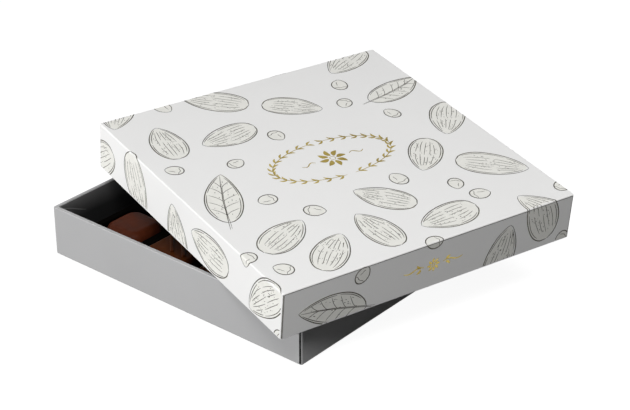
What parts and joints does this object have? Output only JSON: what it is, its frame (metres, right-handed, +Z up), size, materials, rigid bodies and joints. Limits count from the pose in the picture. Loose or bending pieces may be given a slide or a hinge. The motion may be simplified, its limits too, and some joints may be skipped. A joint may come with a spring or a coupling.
{
  "type": "chocolate box",
  "caption": "Square rigid two-piece chocolate box with a printed white lid lying askew on a grey base, chocolates in a black insert inside.",
  "frame": {"origin": "centre of the underside of the base, on the surface it stands on", "axes": "+Z up; -Y out of the front wall of the base, which the lid overhangs; -X out of its left wall, in front of the open corner"},
  "size_m": [0.2297, 0.2343, 0.0703],
  "materials": {
    "greyboard": "matte",
    "stay_paper": "matte",
    "grey_paper": "satin",
    "black_paper": "matte",
    "black_tray": "satin",
    "white_paper": "satin",
    "lid_lining": "matte",
    "milk_chocolate": "satin",
    "dark_chocolate": "satin",
    "print_ink": "matte",
    "print_tint": "matte",
    "gold_foil": "satin",
    "join_line": "matte",
    "lid_join_line": "matte",
    "crease_line": "matte"
  },
  "bodies": {
    "base": {"base_floor_board": "greyboard", "base_left_board": "greyboard", "base_right_board": "greyboard", "base_front_board": "greyboard", "base_back_board": "greyboard", "base_corner_stays": "stay_paper", "base_wrap": "grey_paper", "base_bottom_sheet": "grey_paper", "base_wall_liner": "black_paper", "base_floor_liner": "black_paper", "chocolate_insert": "black_tray"},
    "lid": {"lid_top_board": "greyboard", "lid_left_board": "greyboard", "lid_right_board": "greyboard", "lid_front_board": "greyboard", "lid_back_board": "greyboard", "lid_corner_stays": "stay_paper", "lid_wrap": "white_paper", "lid_ceiling_sheet": "lid_lining"},
    "chocolate_a1": {"chocolate_a1": "milk_chocolate"},
    "chocolate_a2": {"chocolate_a2": "dark_chocolate"},
    "chocolate_a3": {"chocolate_a3": "dark_chocolate"},
    "chocolate_a4": {"chocolate_a4": "milk_chocolate"},
    "chocolate_b1": {"chocolate_b1": "dark_chocolate"},
    "chocolate_b2": {"chocolate_b2": "milk_chocolate"},
    "chocolate_b3": {"chocolate_b3": "milk_chocolate"},
    "chocolate_b4": {"chocolate_b4": "dark_chocolate"},
    "chocolate_c1": {"chocolate_c1": "dark_chocolate"},
    "chocolate_c2": {"chocolate_c2": "dark_chocolate"},
    "chocolate_c3": {"chocolate_c3": "milk_chocolate"},
    "chocolate_c4": {"chocolate_c4": "milk_chocolate"},
    "chocolate_d1": {"chocolate_d1": "milk_chocolate"},
    "chocolate_d2": {"chocolate_d2": "milk_chocolate"},
    "chocolate_d3": {"chocolate_d3": "dark_chocolate"},
    "chocolate_d4": {"chocolate_d4": "dark_chocolate"}
  },
  "joints": [
    {"name": "lid_lift", "type": "slide", "parent": "base", "child": "lid", "axis": [0, 0, 1], "range_m": [0, 0.12]},
    {"name": "chocolate_a1_lift", "type": "slide", "parent": "base", "child": "chocolate_a1", "axis": [0, 0, 1], "range_m": [0, 0.0145]},
    {"name": "chocolate_a2_lift", "type": "slide", "parent": "base", "child": "chocolate_a2", "axis": [0, 0, 1], "range_m": [0, 0.019]},
    {"name": "chocolate_a3_lift", "type": "slide", "parent": "base", "child": "chocolate_a3", "axis": [0, 0, 1], "range_m": [0, 0.019]},
    {"name": "chocolate_a4_lift", "type": "slide", "parent": "base", "child": "chocolate_a4", "axis": [0, 0, 1], "range_m": [0, 0.019]},
    {"name": "chocolate_b1_lift", "type": "slide", "parent": "base", "child": "chocolate_b1", "axis": [0, 0, 1], "range_m": [0, 0.0115]},
    {"name": "chocolate_b2_lift", "type": "slide", "parent": "base", "child": "chocolate_b2", "axis": [0, 0, 1], "range_m": [0, 0.029]},
    {"name": "chocolate_b3_lift", "type": "slide", "parent": "base", "child": "chocolate_b3", "axis": [0, 0, 1], "range_m": [0, 0.029]},
    {"name": "chocolate_b4_lift", "type": "slide", "parent": "base", "child": "chocolate_b4", "axis": [0, 0, 1], "range_m": [0, 0.029]},
    {"name": "chocolate_c1_lift", "type": "slide", "parent": "base", "child": "chocolate_c1", "axis": [0, 0, 1], "range_m": [0, 0.029]},
    {"name": "chocolate_c2_lift", "type": "slide", "parent": "base", "child": "chocolate_c2", "axis": [0, 0, 1], "range_m": [0, 0.029]},
    {"name": "chocolate_c3_lift", "type": "slide", "parent": "base", "child": "chocolate_c3", "axis": [0, 0, 1], "range_m": [0, 0.029]},
    {"name": "chocolate_c4_lift", "type": "slide", "parent": "base", "child": "chocolate_c4", "axis": [0, 0, 1], "range_m": [0, 0.029]},
    {"name": "chocolate_d1_lift", "type": "slide", "parent": "base", "child": "chocolate_d1", "axis": [0, 0, 1], "range_m": [0, 0.029]},
    {"name": "chocolate_d2_lift", "type": "slide", "parent": "base", "child": "chocolate_d2", "axis": [0, 0, 1], "range_m": [0, 0.029]},
    {"name": "chocolate_d3_lift", "type": "slide", "parent": "base", "child": "chocolate_d3", "axis": [0, 0, 1], "range_m": [0, 0.029]},
    {"name": "chocolate_d4_lift", "type": "slide", "parent": "base", "child": "chocolate_d4", "axis": [0, 0, 1], "range_m": [0, 0.029]}
  ]
}
